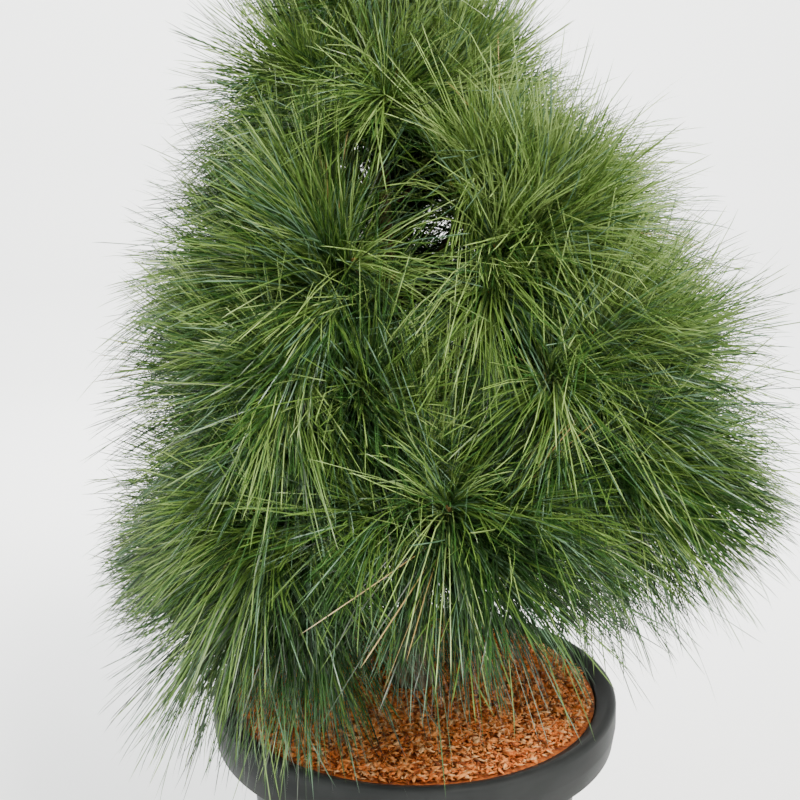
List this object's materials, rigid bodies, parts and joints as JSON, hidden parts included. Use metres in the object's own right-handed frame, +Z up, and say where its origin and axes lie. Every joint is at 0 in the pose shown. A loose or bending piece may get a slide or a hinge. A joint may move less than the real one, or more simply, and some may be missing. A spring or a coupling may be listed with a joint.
{
  "type": "potted young bhutan pine",
  "caption": "Young Bhutan pine with long, fine, drooping needles in tiers round a leaning trunk, in a round charcoal nursery pot topped with bark mulch.",
  "frame": {"origin": "middle of the flat underside of the pot, on the ground", "axes": "+Z up along the pot's axis, -Y the side that the picture shows, +X to the right in the picture"},
  "size_m": [0.6561, 0.6923, 1.0873],
  "materials": {
    "charcoal_plastic": "moulded, soft sheen",
    "bark_mulch": "rough, dry, loose chips",
    "young_bark": "matte, finely cracked",
    "pine_needle": "waxy, satin"
  },
  "bodies": {
    "root": {"bough_1_1": "young_bark", "bough_1_2": "young_bark", "bough_1_3": "young_bark", "bough_2_1": "young_bark", "bough_2_2": "young_bark", "bough_2_3": "young_bark", "bough_2_4": "young_bark", "bough_2_5": "young_bark", "bough_2_6": "young_bark", "bough_2_7": "young_bark", "bough_3_1": "young_bark", "bough_3_2": "young_bark", "bough_3_3": "young_bark", "bough_3_4": "young_bark", "bough_3_5": "young_bark", "bough_4_1": "young_bark", "bough_4_2": "young_bark", "bough_4_3": "young_bark", "bough_4_4": "young_bark", "bough_4_5": "young_bark", "bough_5_1": "young_bark", "bough_5_2": "young_bark", "bough_5_3": "young_bark", "bough_5_4": "young_bark", "bough_6_1": "young_bark", "bough_6_2": "young_bark", "bough_6_3": "young_bark", "bough_6_4": "young_bark", "needles_1_1": "pine_needle", "needles_1_2": "pine_needle", "needles_1_3": "pine_needle", "needles_2_1": "pine_needle", "needles_2_2": "pine_needle", "needles_2_3": "pine_needle", "needles_2_4": "pine_needle", "needles_2_5": "pine_needle", "needles_2_6": "pine_needle", "needles_2_7": "pine_needle", "needles_3_1": "pine_needle", "needles_3_2": "pine_needle", "needles_3_3": "pine_needle", "needles_3_4": "pine_needle", "needles_3_5": "pine_needle", "needles_4_1": "pine_needle", "needles_4_2": "pine_needle", "needles_4_3": "pine_needle", "needles_4_4": "pine_needle", "needles_4_5": "pine_needle", "needles_5_1": "pine_needle", "needles_5_2": "pine_needle", "needles_5_3": "pine_needle", "needles_5_4": "pine_needle", "needles_6_1": "pine_needle", "needles_6_2": "pine_needle", "needles_6_3": "pine_needle", "needles_6_4": "pine_needle", "needles_leader": "pine_needle", "pot": "charcoal_plastic", "root_ball": "bark_mulch", "trunk": "young_bark"}
  },
  "joints": []
}
